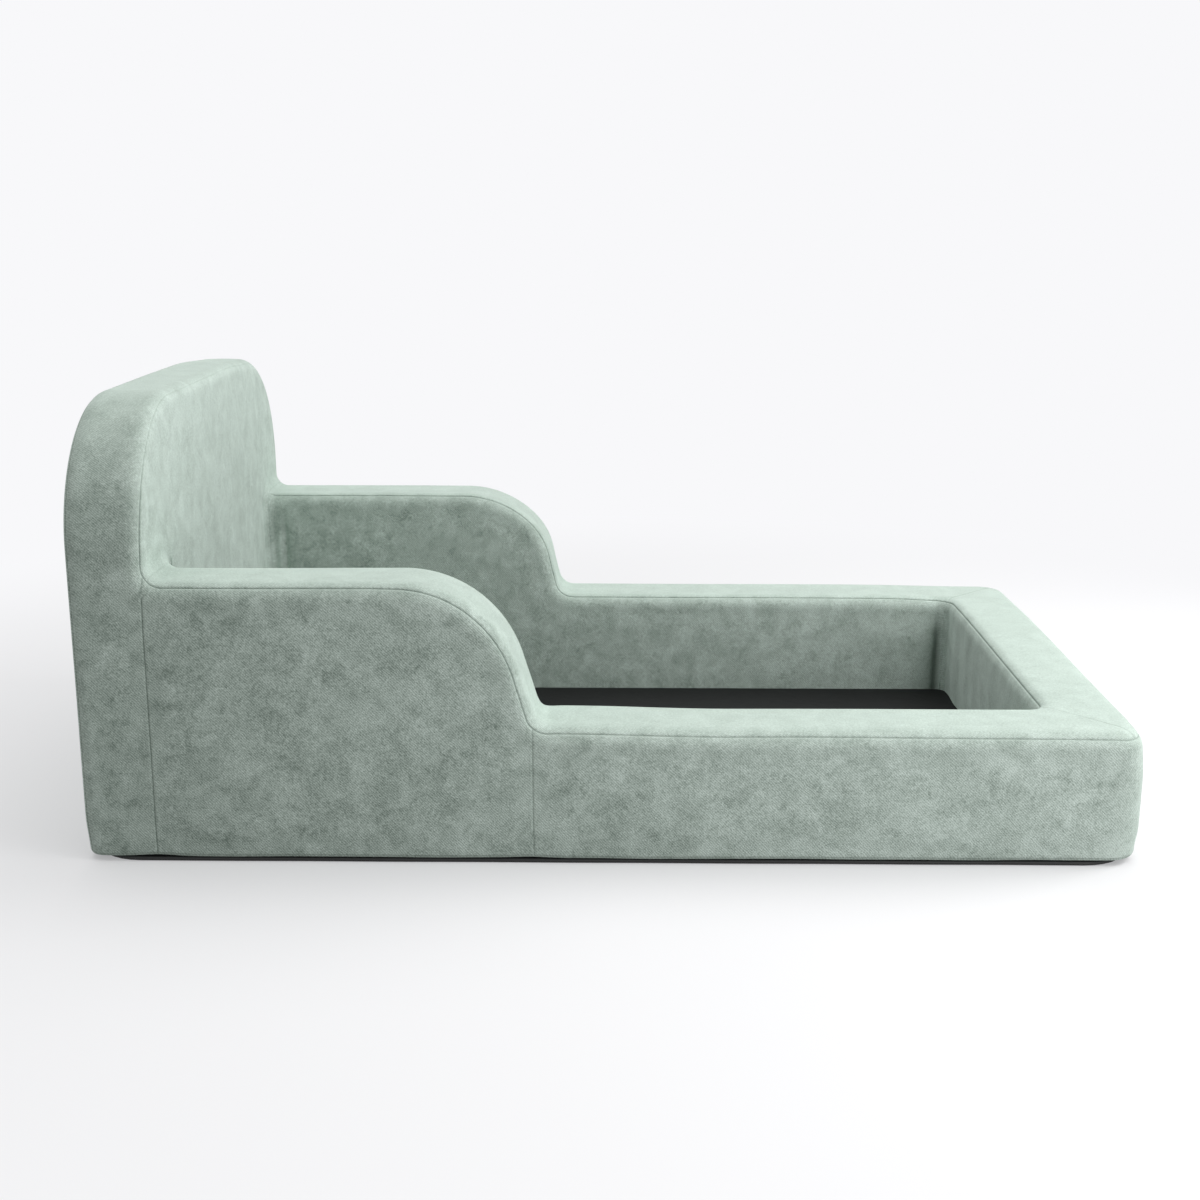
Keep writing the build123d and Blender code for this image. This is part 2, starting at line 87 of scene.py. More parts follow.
def rounded_plan(long, wide, corner, pitch):
    """Points round a rectangle with round corners, anticlockwise seen from above, with their outward directions."""
    spots, outs = [], []
    for quarter in range(4):
        sx, sy = ((1, 1), (-1, 1), (-1, -1), (1, -1))[quarter]
        angles = np.linspace(quarter * math.pi / 2, (quarter + 1) * math.pi / 2, 9)
        out = np.stack([np.cos(angles), np.sin(angles)], 1)
        arc = np.array([sx * (long / 2 - corner), sy * (wide / 2 - corner)]) + corner * out
        run = (wide, long)[(quarter + 1) % 2] - 2 * corner
        count = int(run / pitch)
        step = np.array([-math.sin(angles[-1]), math.cos(angles[-1])])
        line = arc[-1] + step * np.linspace(0, run, count + 1)[1:-1, None]
        spots += [arc, line]
        outs += [out, np.repeat(out[-1:], len(line), 0)]
    return np.concatenate(spots), np.concatenate(outs)


def loft(rings, cap_low=False, cap_high=False):
    """Faces between rings of equal length, closed all round, with optional caps."""
    count = len(rings[0])
    faces = []
    for r in range(len(rings) - 1):
        for i in range(count):
            j = (i + 1) % count
            faces.append((r * count + i, r * count + j, (r + 1) * count + j, (r + 1) * count + i))
    if cap_low:
        faces.append(tuple(range(count))[::-1])
    if cap_high:
        faces.append(tuple((len(rings) - 1) * count + i for i in range(count)))
    return np.concatenate(rings), faces


# Coated cloth: a plain weave under a thin matt coat, so it is near black with a faint satin light on its edge. The
# weave is drawn 3 mm wide so that it shows.
coated_cloth, tree = new_material("coated black cloth")
place = add(tree, "ShaderNodeTexCoord").outputs["Object"]
weave = add(tree, "ShaderNodeTexNoise", {"Vector": place, "Scale": 1 / 0.003, "Detail": 2.0})
bump = add(tree, "ShaderNodeBump", {"Height": weave.outputs["Fac"], "Strength": 0.25, "Distance": 0.0005})
shader = add(tree, "ShaderNodeBsdfPrincipled", {
    "Base Color": add(tree, "ShaderNodeMix", {0: weave.outputs["Fac"], 6: linear("#0C0D0D"), 7: linear("#222423")},
                      data_type="RGBA").outputs[2], "Roughness": 0.62, "IOR": 1.5, "Normal": bump.outputs["Normal"]})
add(tree, "ShaderNodeOutputMaterial", {"Surface": shader.outputs["BSDF"]})

plan, out = rounded_plan(bottom_long, bottom_wide, bottom_corner, 30)
# The cloth's edge in section: how far in from its plan, and how high.
bottom_section = ((14, 0.25), (2.4, 0.2), (0.8, 0.9), (0.1, 2.4), (0, 3.6), (0.3, 5.0), (1.2, 6.2), (3, 6.85),
                  (14, 6.95))
rings = []
for inset, height in bottom_section:
    spots = plan - out * inset
    wave = 0.5 * np.sin(spots[:, 0] / 41) + 0.5 * np.sin(spots[:, 1] / 37 + 1)
    rings.append(np.column_stack([spots - out * 0.6 * wave[:, None], np.full(len(spots), height)]))
points, faces = loft(rings, cap_low=True, cap_high=True)
bottom = piece("bottom_cloth", points, faces, coated_cloth)
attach(bottom, "bed")
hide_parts("base_cloth")

# ---------------------------------------------------------------------------------------------------------------
# Base pad. An 11 mm foam sheet in a black cloth sleeve, lying loose in the well on the bottom cloth. The mattress
# goes on it. Its edge is a soft roll with a sewn welt, and its top is nearly flat.
# ---------------------------------------------------------------------------------------------------------------
pad_long, pad_wide, pad_corner = 1327.0, 711.0, 28.0
plan, out = rounded_plan(pad_long, pad_wide, pad_corner, 14)
# The pad's edge in section, with the welt's groove half way up.
pad_section = ((24, 7.05), (4, 7.05), (1.6, 8.0), (0.6, 9.6), (0.5, 11.6), (1.3, 12.6), (0.5, 13.6), (0.8, 16.5),
               (2.0, 18.8), (4.2, 20.2), (8, 20.9), (15, 21.2), (24, 21.2))
rings = []
for inset, height in pad_section:
    spots = plan - out * inset
    rings.append(np.column_stack([spots, np.full(len(spots), height)]))
points, faces = loft(rings, cap_low=True, cap_high=True)

# Sleeve cloth: tightly woven black polyester, so it is dark and matt with a soft grey light along its waves of 60 mm.
# Its threads are drawn 4 mm wide so that they show.
sleeve_cloth, tree = new_material("woven black polyester")
place = add(tree, "ShaderNodeTexCoord").outputs["Object"]
thread = add(tree, "ShaderNodeTexNoise", {"Vector": place, "Scale": 1 / 0.004, "Detail": 3.0})
sag = add(tree, "ShaderNodeTexNoise", {"Vector": place, "Scale": 1 / 0.06, "Detail": 2.0, "Distortion": 0.6})
rise = add(tree, "ShaderNodeMath", {0: sag.outputs["Fac"], 1: 6.0, 2: thread.outputs["Fac"]}, operation="MULTIPLY_ADD")
bump = add(tree, "ShaderNodeBump", {"Height": rise.outputs["Value"], "Strength": 0.35, "Distance": 0.0006})
shader = add(tree, "ShaderNodeBsdfPrincipled", {
    "Base Color": add(tree, "ShaderNodeMix", {0: thread.outputs["Fac"], 6: linear("#0C0D0D"), 7: linear("#191A1A")},
                      data_type="RGBA").outputs[2],
    "Roughness": 0.7, "IOR": 1.5, "Specular IOR Level": 0.2, "Normal": bump.outputs["Normal"]})
add(tree, "ShaderNodeOutputMaterial", {"Surface": shader.outputs["BSDF"]})

pad = piece("base_pad", points, faces, sleeve_cloth)
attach(pad, "bed")
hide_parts("base_pad_sleeve", "base_pad_foam")

# ---------------------------------------------------------------------------------------------------------------
# Hook and loop patches. Square patches of woven tape, glued to the ends of the foam walls inside the cover, that
# hold the four walls to each other. They are nylon: one half stiff hooks, the other half soft loops.
# ---------------------------------------------------------------------------------------------------------------
# Hook and loop tape: woven nylon with a dense pile 1.5 mm apart, matt and dark grey.
hook_tape, tree = new_material("nylon hook and loop tape")
place = add(tree, "ShaderNodeTexCoord").outputs["Object"]
pile = add(tree, "ShaderNodeTexVoronoi", {"Vector": place, "Scale": 1 / 0.0015})
bump = add(tree, "ShaderNodeBump", {"Height": pile.outputs["Distance"], "Strength": 0.6, "Distance": 0.001})
shader = add(tree, "ShaderNodeBsdfPrincipled", {
    "Base Color": add(tree, "ShaderNodeMix", {0: pile.outputs["Distance"], 6: linear("#363839"), 7: linear("#686A6C")},
                      data_type="RGBA").outputs[2], "Roughness": 0.85, "IOR": 1.53, "Normal": bump.outputs["Normal"]})
add(tree, "ShaderNodeOutputMaterial", {"Surface": shader.outputs["BSDF"]})


def finish_node(name, material):
    """Gives a carried-over CAD node its finish."""
    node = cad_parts[name]
    node.data.materials.clear()
    node.data.materials.append(material)


for name in ("hook_patches", "loop_patches"):
    finish_node(name, hook_tape)

# ---------------------------------------------------------------------------------------------------------------
# Velvet cover. One fitted cover over the four foam walls, sewn from fourteen panels that meet in plain turned
# seams along every edge. The foam fills it, so its faces are nearly flat and its edges are rolls of 24 mm.
# ---------------------------------------------------------------------------------------------------------------
rear, front, foot_out, foot_in = -785.0, -675.0, 785.0, 655.0
side, well_side = 495.0, 357.0
head_top, high_top, low_top, cover_low = 681.0, 420.0, 206.0, 7.0
roll, hem_roll, foot_corner, nook, head_corner = 24.0, 7.0, 42.0, 24.0, 208.8
drop_x, drop_radius, drop_turn, toe_radius = -309.0, 184.0, math.radians(73), 31.0
foot_panel_end = 447.0
# Radii of the line that the outer edge's roll turns about, where that line bends.
toe_reach, drop_reach, nook_reach, head_reach = toe_radius + roll, drop_radius - roll, nook + roll, head_corner - roll
X, Y, Z = np.eye(3)

toe_turn = np.array([drop_x + drop_radius * math.sin(drop_turn), high_top - drop_radius * (1 - math.cos(drop_turn))])
toe_high = low_top + toe_radius * (1 - math.cos(drop_turn))
slope = np.array([math.cos(drop_turn), -math.sin(drop_turn)])
slope_run = (toe_turn[1] - toe_high) / math.sin(drop_turn)
toe_start = toe_turn + slope * slope_run
toe_end = toe_start[0] + toe_radius * math.sin(drop_turn)
mid_seam = toe_start[0]


def spread(length, pitch, fine=(), count=None):
    """Distances from 0 to length, about pitch apart and closer near the places in fine."""
    t = np.linspace(0, length, 3000)
    gap = np.full(len(t), float(pitch))
    for spot in fine:
        gap = np.minimum(gap, 0.8 + 0.2 * np.abs(t - spot))
    run = np.concatenate([[0], np.cumsum(np.diff(t) * 2 / (gap[1:] + gap[:-1]))])
    number = count or int(math.ceil(run[-1])) + 1
    return np.interp(np.linspace(0, run[-1], number), run, t)


def turned(a, b, angles):
    """Directions from a towards b, at the angles."""
    return np.cos(angles)[:, None] * a + np.sin(angles)[:, None] * b


def line_of(start, direction, distances):
    """Points at the distances along a straight line."""
    return np.asarray(start) + np.outer(distances, direction)


def still(direction, like):
    """One direction, repeated for each of the points in like."""
    return np.repeat(np.asarray(direction, float)[None], len(like), 0)


# The outer edge, as the line that its roll turns about, from the middle of the foot to the middle of the headboard's
# top. Each stretch has its points, the direction of the face outside it and that of the face above or in front.
low_line, high_line = low_top - roll, high_top - roll
foot_run = spread(side - foot_corner, 8, fine=[foot_panel_end])
corner_angles = np.radians(np.linspace(0, 90, 15))
turn_place = np.array([foot_out - foot_corner, -side + foot_corner, low_line])
rail_low = spread(turn_place[0] - toe_end, 8)
toe_angles = spread(toe_reach * drop_turn, 5, fine=[29, 33, 37, 41, 45, 51]) / toe_reach
slope_steps = spread(slope_run, 6)
drop_angles = drop_turn - spread(drop_reach * drop_turn, 6) / drop_reach
high_run = spread(drop_x - front - nook, 8, fine=[326, 333, 341])
nook_angles = np.radians([0, 7, 13, 18, 22, 25, 27, 28.5, 30, 31.5, 33, 35.5, 38.5, 41, 43.1, 45, 46.9, 49, 52, 57, 64,
                          72, 81, 90])
head_rise = np.linspace(0, head_top - head_corner - high_top - nook, 22)
head_turn = spread(head_reach * math.pi / 2, 7) / head_reach
head_run = spread(side - head_corner, 8)

toe_middle = np.array([toe_end, -side + roll, low_top + toe_radius])
drop_middle = np.array([drop_x, -side + roll, high_top - drop_radius])
nook_middle = np.array([front + nook, -side + roll, high_top + nook])
head_middle = np.array([front - roll, -side + head_corner, head_top - head_corner])
slope_up = turned(Z, X, np.array([drop_turn]))[0]
stretches = [
    ("foot", line_of((foot_out - roll, 0, low_line), -Y, foot_run), still(X, foot_run), still(Z, foot_run)),
    ("foot", turn_place + (foot_corner - roll) * turned(X, -Y, corner_angles[1:8]), turned(X, -Y, corner_angles[1:8]),
     still(Z, range(7))),
    ("low", turn_place + (foot_corner - roll) * turned(X, -Y, corner_angles[7:]), turned(X, -Y, corner_angles[7:]),
     still(Z, range(8))),
    ("low", line_of((turn_place[0], -side + roll, low_line), -X, rail_low[1:]), still(-Y, rail_low[1:]),
     still(Z, rail_low[1:])),
    ("rail", toe_middle - toe_reach * turned(Z, X, toe_angles[1:]), still(-Y, toe_angles[1:]),
     turned(Z, X, toe_angles[1:])),
    ("rail", line_of(toe_middle - toe_reach * slope_up, (-slope[0], 0, -slope[1]), slope_steps[1:]),
     still(-Y, slope_steps[1:]), still(slope_up, slope_steps[1:])),
    ("rail", drop_middle + drop_reach * turned(Z, X, drop_angles[1:]), still(-Y, drop_angles[1:]),
     turned(Z, X, drop_angles[1:])),
    ("rail", line_of((drop_x, -side + roll, high_line), -X, high_run[1:]), still(-Y, high_run[1:]),
     still(Z, high_run[1:])),
    ("nook", nook_middle - nook_reach * turned(Z, X, nook_angles[1:]), still(-Y, nook_angles[1:]),
     turned(Z, X, nook_angles[1:])),
    ("rise", line_of((front - roll, -side + roll, high_top + nook), Z, head_rise[1:]), still(-Y, head_rise[1:]),
     still(X, head_rise[1:])),
    ("head", head_middle + head_reach * turned(-Y, Z, head_turn[1:]), turned(-Y, Z, head_turn[1:]),
     still(X, head_turn[1:])),
    ("head", line_of((front - roll, -side + head_corner, head_top - roll), Y, head_run[1:]), still(Z, head_run[1:]),
     still(X, head_run[1:])),
]
edge = {}
for name, *parts in stretches:
    edge[name] = [np.concatenate([a, b]) for a, b in zip(edge[name], parts)] if name in edge else parts
names = ["foot", "low", "rail", "nook", "rise", "head"]
whole_edge = [np.concatenate([edge[n][k] for n in names]) for k in range(3)]

# Rows of points round a roll, close together beside the seam at its middle.
seam_gaps = np.array([0, 0.7, 1.5, 2.6, 4.2, 6.5, 9.5, 13.0, roll * math.pi / 4])
roll_angles = math.pi / 4 + np.concatenate([-seam_gaps[:0:-1], seam_gaps]) / roll

sheet_points, sheet_faces = [], []


def lay(points):
    """Adds a grid of points, rows by columns, to the left half of the cover."""
    rows, columns = points.shape[:2]
    start = sum(len(p) for p in sheet_points)
    sheet_points.append(points.reshape(-1, 3))
    first = (np.arange(rows - 1)[:, None] * columns + np.arange(columns - 1)).ravel() + start
    sheet_faces.append(np.stack([first, first + 1, first + columns + 1, first + columns], 1))
    return points


def between(a, b, shares):
    """Rows of points from the line a to the line b."""
    return a[None] + np.asarray(shares)[:, None, None] * (b - a)[None]


def rolled(line, outward, upward, angles, radius=roll, tilt=0.0):
    """Rows of points round a roll. tilt moves the seam, at its middle row, round towards the upward face."""
    rows = [t + tilt * math.sin(2 * t) for t in angles]
    return np.stack([line + radius * (np.cos(t) * outward.T + np.sin(t) * upward.T).T for t in rows])


# The seam is not in the middle of the roll everywhere: it lies higher on the high rail and further forward beside
# the headboard. Each seam is kept with its depth along its length, which also sets the painted shade in its groove.
seams = []


def sew(line, depth):
    """Keeps a seam's points, each with its depth."""
    seams.append(np.column_stack([line, np.broadcast_to(depth, len(line))]))


on_head = whole_edge[0][:, 2] > high_top + nook
head_tilt = np.interp(whole_edge[0][:, 1], [-471, -440, -300], [15, 13, 3])
rail_tilt = np.interp(whole_edge[0][:, 0], [-690, -651, -340, -250, -180, -130, -105, -84, 300, 757],
                      [15, 9, 9, 2, -6, -10, -4, 2, 3, -4])
outer_tilt = np.radians(np.where(on_head, head_tilt, rail_tilt))
outer = lay(rolled(*whole_edge, roll_angles, tilt=outer_tilt))
sew(outer[8], np.where(on_head, np.interp(whole_edge[0][:, 2], [480, 600], [0.9, 0.2]),
                       np.interp(whole_edge[0][:, 0], [-309, -84, 20, 700, 785], [0.75, 0.6, 0.55, 0.55, 0.5])))

# Outer faces of the foot and the rail, with the plain side of the headboard below its front roll.
wall_rows = np.linspace(0, 1, 37)
hem_top = cover_low + hem_roll
foot_count, low_count = len(edge["foot"][0]), len(edge["low"][0])
rail_end = foot_count + low_count + len(edge["rail"][0])
nook_end = rail_end + len(edge["nook"][0])
rise_end = nook_end + len(edge["rise"][0])
wall_top = outer[0, :nook_end]
back_strip = spread(front - rear - 2 * roll, 7)
strip_top = line_of(wall_top[-1], -X, back_strip[1:])
wall_top = np.concatenate([wall_top, strip_top])
wall_foot = wall_top.copy()
wall_foot[:, 2] = hem_top
lay(between(wall_foot, wall_top, wall_rows))

# The rear edge's roll, from the hem up the side and over the top, and the boxing between it and the front edge.
rear_rise = hem_top + wall_rows * (high_top + nook - hem_top)
rear_line = [np.concatenate([line_of((rear + roll, -side + roll, 0), Z, rear_rise),
                             whole_edge[0][nook_end:] + (rear + roll - front + roll) * X]),
             np.concatenate([still(-Y, wall_rows), whole_edge[1][nook_end:]])]
rear_line.append(still(-X, rear_line[0]))
back_edge = lay(rolled(*rear_line, roll_angles))
sew(back_edge[8], 0.7)
boxing_front = outer[0, nook_end - 1:]
boxing_back = back_edge[0, len(wall_rows) - 1:]
lay(between(boxing_front, boxing_back, back_strip / back_strip[-1]))

# The back face.
back_rise = len(wall_rows) + len(edge["rise"][0])
back_top = back_edge[-1, back_rise - 1:]
left_side = back_edge[-1, :back_rise]
back_foot = back_top.copy()
back_foot[:, 1] = -spread(side - roll, 8, count=len(back_top))[::-1]
back_foot[:, 2] = hem_top
shares = (left_side[:, 2] - hem_top) / (left_side[-1, 2] - hem_top)
lay(between(back_foot, back_top, shares))

# The rail's inner edge, its top and the wall that faces the well. Their ends are cut at 45 degrees for the foot.
top_rows = np.linspace(0, 1, 13)
low_length = foot_in - toe_end
low_steps = spread(low_length, 8, fine=[0, 22], count=low_count) / low_length
# The inner seam lies 12 degrees further up than the roll's middle, and eases down to it at the foot's mitre.
inner_tilt = math.radians(12) * np.concatenate([np.clip(low_steps / 0.15, 0, 1), np.ones(len(edge["rail"][0]))])
rail_lines = [np.concatenate([edge["low"][k], edge["rail"][k]]) for k in range(3)]
inner_rows = []
for t in roll_angles:
    t = t + inner_tilt * math.sin(2 * t)
    out_y = roll * np.cos(t)
    line = rail_lines[0] + (roll * np.sin(t) * rail_lines[2].T).T
    line[:, 1] = -well_side - roll + out_y
    reach = foot_in + roll - out_y[:low_count]
    line[:low_count, 0] = reach + (toe_end - reach) * low_steps
    inner_rows.append(line)
inner_edge = lay(np.stack(inner_rows))
sew(inner_edge[8], 0.8)
lay(between(outer[-1, foot_count:rail_end], inner_edge[-1], top_rows))
well_low = inner_edge[0].copy()
well_low[:, 2] = cover_low
lay(between(inner_edge[0], well_low, wall_rows))

foot_steps = spread(well_side, 8, fine=[0], count=foot_count + 1)[::-1] / well_side
foot_rows = []
for t in roll_angles:
    out_x = roll * math.cos(t)
    line = np.zeros((foot_count + 1, 3))
    line[:, 0] = foot_in + roll - out_x
    line[:, 1] = -foot_steps * (well_side + roll - out_x)
    line[:, 2] = low_line + roll * math.sin(t)
    foot_rows.append(line)
foot_edge = np.stack(foot_rows)[:, ::-1]
lay(foot_edge)
sew(foot_edge[8], 0.8)
lay(between(outer[-1, :foot_count + 1], foot_edge[-1], top_rows))
well_low = foot_edge[0].copy()
well_low[:, 2] = cover_low
lay(between(foot_edge[0], well_low, wall_rows))

# The nook: the hollow where the rail's top, inner edge and inner wall meet the headboard's front.
top_line = np.column_stack([np.zeros(len(top_rows)), -side + roll + top_rows * (side - well_side - 2 * roll),
                            np.full(len(top_rows), high_top)])
arc_angles = roll_angles + inner_tilt[-1] * np.sin(2 * roll_angles)
arc = turned(Z, Y, math.pi / 2 - arc_angles[::-1])
arc_line = np.array([0, -well_side - roll, high_line]) + roll * arc
wall_line = np.column_stack([np.zeros(len(wall_rows)), np.full(len(wall_rows), -well_side),
                             high_line + wall_rows * (cover_low - high_line)])
shape_line = np.concatenate([top_line, arc_line[1:], wall_line[1:]])
shape_out = np.concatenate([still(Z, top_line), arc[1:], still(Y, wall_line[1:])])
nook_centre = shape_line + nook * shape_out + (front + nook) * X
hollow = lay(np.stack([nook_centre - nook * (math.cos(t) * shape_out + math.sin(t) * X) for t in nook_angles]))
sew(np.concatenate([outer[8:, rail_end + 14], hollow[15]]), 0.2)
sew(hollow[:16, 20], np.linspace(0.7, 0.1, 16))

# The headboard's front.
front_top = outer[-1, rise_end - 1:]
bend = len(top_line) + len(arc_line) - 1
front_foot = hollow[-1, :bend]
more = len(front_top) - len(front_foot)
run = line_of(front_foot[-1], Y, spread(-front_foot[-1, 1], 8, count=more + 1)[1:])
front_foot = np.concatenate([front_foot, run])
rise_share = np.concatenate([[0], np.cumsum(np.diff(outer[-1, nook_end - 1:rise_end, 2]))]) / head_rise[-1]
lay(between(front_foot, front_top, rise_share))
front_low = np.concatenate([front_foot[bend - 1:bend], run])
wall_foot_line = front_low.copy()
wall_foot_line[:, 2] = cover_low
lay(between(front_low, wall_foot_line, wall_rows))

# The hem: the cover turns under all round and runs in over the bottom cloth.
hem_under = 16.0
hem_line = np.concatenate([wall_foot, back_edge[1:, 0], back_foot[1:]])
hem_out = np.concatenate([whole_edge[1][:nook_end], still(-Y, strip_top),
                          np.stack([math.cos(t) * -Y + math.sin(t) * -X for t in roll_angles[1:]]),
                          still(-X, back_foot[1:])])
hem_angles = np.radians([0, 8, 14, 18, 21, 24, 27, 31, 38, 48, 60, 75, 90])
hem = rolled(hem_line - hem_roll * hem_out, hem_out, np.repeat(-Z[None], len(hem_out), 0), hem_angles, hem_roll)
sew(hem[5], 0.3)
lay(np.concatenate([hem, hem[-1:] - hem_under * hem_out]))

# The upright seams on the outer faces, which are straight, and the mitres at the foot.
for x, columns, deep in ((front, slice(rail_end - 1, nook_end), 0.75),
                         (mid_seam, slice(foot_count + low_count - 1, rail_end), 0.5)):
    rows = outer[:9, columns]
    top = np.array([[np.interp(-x, -row[:, 0], row[:, k]) for k in range(3)] for row in rows])
    sew(np.concatenate([[[x, -side, hem_top - 5]], top]), deep)
rows = outer[:9, :foot_count]
top = np.array([[np.interp(foot_panel_end, -row[:, 1], row[:, k]) for k in range(3)] for row in rows])
sew(np.concatenate([[[foot_out, -foot_panel_end, hem_top - 5]], top]), 0.75)
sew(np.concatenate([foot_edge[4:, -1], outer[:7:-1, foot_count]]), 0.35)

points = np.concatenate(sheet_points)
faces = np.concatenate(sheet_faces)
# The right half is the left one mirrored. Points within the weld's width become one, and the small shift keeps whole
# millimetres clear of the edges of its steps.
weld, weld_shift = 0.02, 0.0031
points = np.concatenate([points, points * [1, -1, 1]])
faces = np.concatenate([faces, faces[:, ::-1] + len(points) // 2])
_, first, where = np.unique(np.round((points + weld_shift) / weld).astype(int), axis=0, return_index=True,
                            return_inverse=True)
points, faces = points[first], where.ravel()[faces]
quads = []
for f in faces.tolist():
    f = [f[i] for i in range(4) if f[i] != f[i - 1]]
    if len(set(f)) == len(f) and len(f) > 2:
        quads.append(f)

# Velvet: polyester pile about 1.5 mm long on a knitted back, brushed and a little crushed. Each face shows fine slanted
# strokes of nap, soft darker patches where the pile leans another way, and a pale sheen where it is seen edge on.
velvet, tree = new_material("brushed velvet")
place = add(tree, "ShaderNodeTexCoord").outputs["Object"]
faced = add(tree, "ShaderNodeNewGeometry").outputs["Normal"]
faced = add(tree, "ShaderNodeVectorMath", {0: faced, 1: faced}, operation="MULTIPLY").outputs[0]
# Painted shade: the darkness painted into the seams' grooves and the tuck at the foot, read from the mesh.
painted_crease_shade = add(tree, "ShaderNodeAttribute", attribute_name="crease_shade").outputs["Fac"]
# Nap: slanted rows of pile, drawn 3.2 mm apart so that they show. Fine: single tufts, drawn 2.5 mm wide for the same
# reason. Streaks: brush marks 22 mm wide, upright on the headboard. Crush: patches of 15 to 45 mm where the pile was
# pressed. Marks: places of about 18 mm where it has parted.
nap = add(tree, "ShaderNodeTexWave", {"Vector": place, "Scale": 0.444 / 0.0032, "Distortion": 4.0, "Detail": 2.0,
                                      "Detail Scale": 0.6}, bands_direction="DIAGONAL").outputs["Fac"]
fine = add(tree, "ShaderNodeTexNoise", {"Vector": place, "Scale": 1 / 0.0025, "Detail": 1.0}).outputs["Fac"]
brush = add(tree, "ShaderNodeMapping", {"Vector": place, "Scale": (0.2, 0.022, 0.09)}, vector_type="TEXTURE")
streak = add(tree, "ShaderNodeTexNoise", {"Vector": brush.outputs[0], "Scale": 1.0, "Detail": 4.0, "Roughness": 0.6,
                                          "Distortion": 0.5}).outputs["Fac"]
crush = add(tree, "ShaderNodeTexNoise", {"Vector": place, "Scale": 1 / 0.040, "Detail": 5.0, "Roughness": 0.62,
                                         "Distortion": 0.6}).outputs["Fac"]
parted = add(tree, "ShaderNodeTexNoise", {"Vector": place, "Scale": 1 / 0.018, "Detail": 3.0, "Roughness": 0.6,
                                          "Distortion": 0.8}).outputs["Fac"]
marks = add(tree, "ShaderNodeMapRange", {"Value": parted, "From Min": 0.54, "From Max": 0.82}).outputs[0]
# Painted light: the side panels are painted paler towards the foot, and the headboard's front paler towards its top,
# where the lamps at the right and above light them more.
light_gradient_axes = add(tree, "ShaderNodeSeparateXYZ", {0: place}).outputs
painted_light_upward = add(tree, "ShaderNodeMapRange", {"Value": light_gradient_axes["Z"], "From Min": 0.42, "From Max": 0.66}).outputs[0]
# How strongly each shows on faces that look along the bed, across it and upward.
total = 0.5
for pattern, middle, shows in ((crush, 0.47, (0.52, 0.66, 0.28)), (nap, 0.5, (0.10, 0.15, 0.08)),
                               (fine, 0.5, (0.45, 0.62, 0.34)), (streak, 0.3, (0.09, 0.05, 0.0)),
                               (marks, 0.0, (-0.06, -0.22, 0.0)), (light_gradient_axes["X"], -0.08, (0.0, 0.14, 0.0)),
                               (painted_light_upward, 0.0, (0.15, 0.0, 0.0))):
    share = add(tree, "ShaderNodeVectorMath", {0: faced, 1: shows}, operation="DOT_PRODUCT").outputs["Value"]
    part = add(tree, "ShaderNodeMath", {0: pattern, 1: middle}, operation="SUBTRACT").outputs[0]
    total = add(tree, "ShaderNodeMath", {0: part, 1: share, 2: total}, operation="MULTIPLY_ADD").outputs[0]
tones = add(tree, "ShaderNodeValToRGB", {"Fac": total})
tones.color_ramp.elements.new(0.5)
for element, spot, code in zip(tones.color_ramp.elements, (0.2, 0.5, 0.8), ("#808E85", "#AFBDB4", "#D3E1D9")):
    element.position, element.color = spot, linear(code)
# Painted shade: the seams' grooves and the foot's tuck are painted darker, towards #66736A.
colour = add(tree, "ShaderNodeMix", {0: painted_crease_shade, 6: tones.outputs[0], 7: linear("#66736A")}, data_type="RGBA").outputs[2]
height = add(tree, "ShaderNodeMath", {0: nap, 1: 0.4, 2: fine}, operation="MULTIPLY_ADD").outputs[0]
share = add(tree, "ShaderNodeVectorMath", {0: faced, 1: (0.35, 0.5, 0.22)}, operation="DOT_PRODUCT").outputs["Value"]
bump = add(tree, "ShaderNodeBump", {"Height": height, "Strength": share, "Distance": 0.0008}).outputs[0]
shader = add(tree, "ShaderNodeBsdfPrincipled", {
    "Base Color": colour, "Roughness": 0.9, "IOR": 1.4, "Specular IOR Level": 0.2, "Sheen Weight": 0.75,
    "Sheen Roughness": 0.35, "Sheen Tint": linear("#E2EFE8"), "Normal": bump})
add(tree, "ShaderNodeOutputMaterial", {"Surface": shader.outputs["BSDF"]})

cover = piece("velvet_cover", points, quads, velvet)
shape = bmesh.new()
shape.from_mesh(cover.data)
bmesh.ops.recalc_face_normals(shape, faces=shape.faces)
shape.to_mesh(cover.data)
shape.free()


def drawn_out(line, step=0.5):
    """Points along a seam, step millimetres apart, with its depth."""
    along = np.concatenate([[0], np.cumsum(np.linalg.norm(np.diff(line[:, :3], axis=0), axis=1))])
    spots = np.arange(0, along[-1] + step, step)
    return np.column_stack([np.interp(spots, along, column) for column in line.T])


def eased(value, low, high):
    """From 0 at low to 1 at high, with soft ends."""
    t = np.clip((value - low) / (high - low), 0, 1)
    return t * t * (3 - 2 * t)


def hump(value, middle, width):
    """1 at the middle, falling off to both sides."""
    return np.exp(-((value - middle) / width) ** 2)


spots = np.concatenate([drawn_out(line) for line in seams])
near = kdtree.KDTree(2 * len(spots))
for i, (x, y, z, _) in enumerate(spots):
    near.insert((x, y, z), 2 * i)
    near.insert((x, -y, z), 2 * i + 1)
near.balance()
found = [near.find(p) for p in points]
gap = np.array([f[2] for f in found])
depth = spots[np.array([f[1] for f in found]) // 2, 3]

normals = np.empty(3 * len(points))
cover.data.vertex_normals.foreach_get("vector", normals)
normals = normals.reshape(-1, 3)

# The foam presses every face out a little between its seams. The zip's slot and the hem are held.
zip_high, slot_half, slot_tall, slot_deep = 46.0, 456.0, 18.0, 7.0
bag_pitch, swell_steps, swell_cap, swell_share = 14.0, 20, 3.5, 0.4
laid = points.copy()
past_slot = np.hypot(np.maximum(np.abs(points[:, 1]) - slot_half, 0),
                     np.maximum(np.abs(points[:, 2] - zip_high) - slot_tall / 2, 0))
off_zip = np.where(points[:, 0] < rear + 1, past_slot, 999.0)
